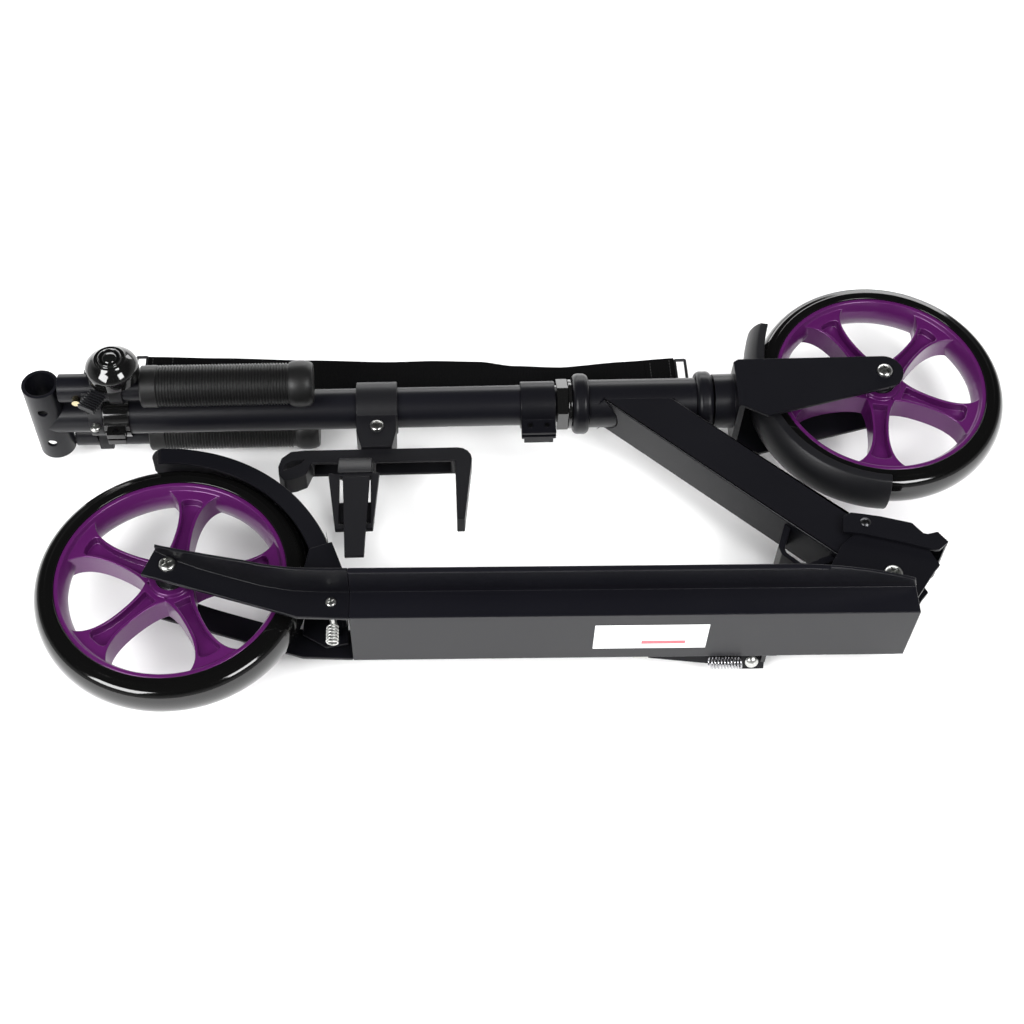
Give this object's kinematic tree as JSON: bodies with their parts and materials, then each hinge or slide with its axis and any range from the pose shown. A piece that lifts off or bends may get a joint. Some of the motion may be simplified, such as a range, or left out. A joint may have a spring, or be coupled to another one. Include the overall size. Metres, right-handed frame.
{
  "type": "kick scooter",
  "caption": "Folding two-wheel kick scooter with telescopic stem, clipped-in handles, rear fender brake, kickstand, bell and bottle holder, folded and lying on its side.",
  "frame": {"origin": "centre of the folded scooter's bounding box, on the surface that it lies on", "axes": "+X along the deck to its front, +Y the deck's up, +Z along the wheel axles, away from the surface it lies on"},
  "size_m": [0.7713, 0.3783, 0.13],
  "materials": {
    "satin_black_paint": "satin",
    "black_alloy": "satin",
    "grip_tape": "rough",
    "zinc": "satin",
    "bearing_steel": "polished",
    "purple_paint": "gloss",
    "tyre_black": "gloss",
    "black_plastic": "satin",
    "gloss_black": "gloss",
    "grip_rubber": "matte",
    "brass": "polished",
    "webbing": "matte",
    "label_paper": "satin",
    "dark_steel": "satin"
  },
  "bodies": {
    "deck": {"deck_extrusion": "black_alloy", "grip_tape": "grip_tape", "rear_arms": "black_alloy", "fold_bracket": "satin_black_paint", "hinge_bolt": "zinc", "rear_axle_bolt": "zinc", "rear_axle_spacers": "bearing_steel", "brake_pivot_bolt": "zinc", "kickstand_bracket": "satin_black_paint", "kickstand_bolt": "zinc", "underside_label": "label_paper"},
    "rear_wheel": {"rear_rim": "purple_paint", "rear_tyre": "tyre_black", "rear_bearings": "bearing_steel"},
    "brake": {"rear_fender": "black_plastic", "brake_spring": "zinc"},
    "kickstand": {"kickstand_leg": "satin_black_paint", "kickstand_foot": "zinc", "kickstand_spring": "dark_steel"},
    "neck": {"neck_tube": "satin_black_paint", "neck_loop": "satin_black_paint", "head_tube": "satin_black_paint", "headset_cups": "satin_black_paint", "headset_bearings": "bearing_steel"},
    "fold_latch": {"fold_lever": "black_plastic", "fold_lever_rivet": "dark_steel", "lock_pin": "dark_steel", "fold_lever_spring": "dark_steel"},
    "steering": {"fork": "satin_black_paint", "headset_nuts": "satin_black_paint", "front_axle_bolt": "zinc", "front_axle_spacers": "bearing_steel", "front_mudguard": "black_plastic", "lower_stem": "black_alloy", "stem_bracket": "satin_black_paint", "stem_bracket_rivets": "dark_steel", "height_collar": "black_plastic", "collar_screw": "dark_steel", "bottle_clamp": "black_plastic", "bottle_clamp_screw": "zinc", "bottle_cage": "black_plastic", "carry_strap": "webbing", "strap_loops": "dark_steel"},
    "front_wheel": {"front_rim": "purple_paint", "front_tyre": "tyre_black", "front_bearings": "bearing_steel"},
    "handlebar": {"upper_stem": "black_alloy", "handlebar_tee": "black_alloy", "grip_clips": "black_plastic", "clip_screw": "zinc"},
    "right_handle": {"right_bar": "dark_steel", "right_grip": "grip_rubber", "bell_base": "black_plastic", "bell_dome": "gloss_black"},
    "left_handle": {"left_bar": "dark_steel", "left_grip": "grip_rubber"},
    "right_snap": {"right_button": "brass"},
    "left_snap": {"left_button": "brass"},
    "bell_trigger": {"bell_lever": "black_plastic"},
    "bottle_adjuster": {"bottle_tongue": "black_plastic"}
  },
  "joints": [
    {"name": "neck_fold", "type": "hinge", "parent": "deck", "child": "neck", "pos_m": [0.2648, -0.0971, 0.058], "axis": [0, 0, 1], "range_deg": [-80, 0]},
    {"name": "fold_lever_press", "type": "hinge", "parent": "neck", "child": "fold_latch", "pos_m": [0.2503, -0.0531, 0.058], "axis": [0, 0, 1], "range_deg": [0, 6], "stiffness_Nm_per_rad": 1.5, "springref_deg": -5.73, "deforming": ["fold_lever_spring"]},
    {"name": "rear_wheel_spin", "type": "hinge", "parent": "deck", "child": "rear_wheel", "pos_m": [-0.2612, -0.0891, 0.058], "axis": [0, 0, 1], "continuous": true},
    {"name": "front_wheel_spin", "type": "hinge", "parent": "steering", "child": "front_wheel", "pos_m": [0.2856, 0.08931, 0.05832], "axis": [0.001, -0.0549, 0.9985], "continuous": true},
    {"name": "brake_press", "type": "hinge", "parent": "deck", "child": "brake", "pos_m": [-0.1432, -0.1221, 0.058], "axis": [0, 0, 1], "range_deg": [0, 2.4], "stiffness_Nm_per_rad": 8, "springref_deg": -2.86, "deforming": ["brake_spring"]},
    {"name": "kickstand_fold", "type": "hinge", "parent": "deck", "child": "kickstand", "pos_m": [0.1658, -0.1306, 0.0135], "axis": [0, -0.866, 0.5], "range_deg": [0, 95], "deforming": ["kickstand_spring"]},
    {"name": "steer", "type": "hinge", "parent": "neck", "child": "steering", "pos_m": [0.09374, 0.07987, 0.058], "axis": [0.9998, 0.0185, 0], "range_deg": [-60, 60]},
    {"name": "stem_height", "type": "slide", "parent": "steering", "child": "handlebar", "axis": [-0.9998, -0.0185, 0], "range_m": [0, 0.24]},
    {"name": "right_handle_release", "type": "slide", "parent": "handlebar", "child": "right_handle", "axis": [0, 0, 1], "range_m": [0, 0.05]},
    {"name": "left_handle_release", "type": "slide", "parent": "handlebar", "child": "left_handle", "axis": [0, 0, -1], "range_m": [0, 0.05]},
    {"name": "right_button_press", "type": "slide", "parent": "right_handle", "child": "right_snap", "axis": [-0.0185, 0.9998, 0], "range_m": [0, 0.004], "stiffness_N_per_m": 400, "springref_m": -0.002},
    {"name": "left_button_press", "type": "slide", "parent": "left_handle", "child": "left_snap", "axis": [0.0185, -0.9998, 0], "range_m": [0, 0.004], "stiffness_N_per_m": 400, "springref_m": -0.002},
    {"name": "bell_lever_pull", "type": "hinge", "parent": "right_handle", "child": "bell_trigger", "pos_m": [-0.31315, 0.07034, 0.108], "axis": [0, 0, 1], "range_deg": [-25, 0], "stiffness_Nm_per_rad": 0.3, "springref_deg": 5.73},
    {"name": "bottle_tongue_slide", "type": "slide", "parent": "steering", "child": "bottle_adjuster", "axis": [-0.0185, 0.9998, 0], "range_m": [0, 0.015]}
  ]
}
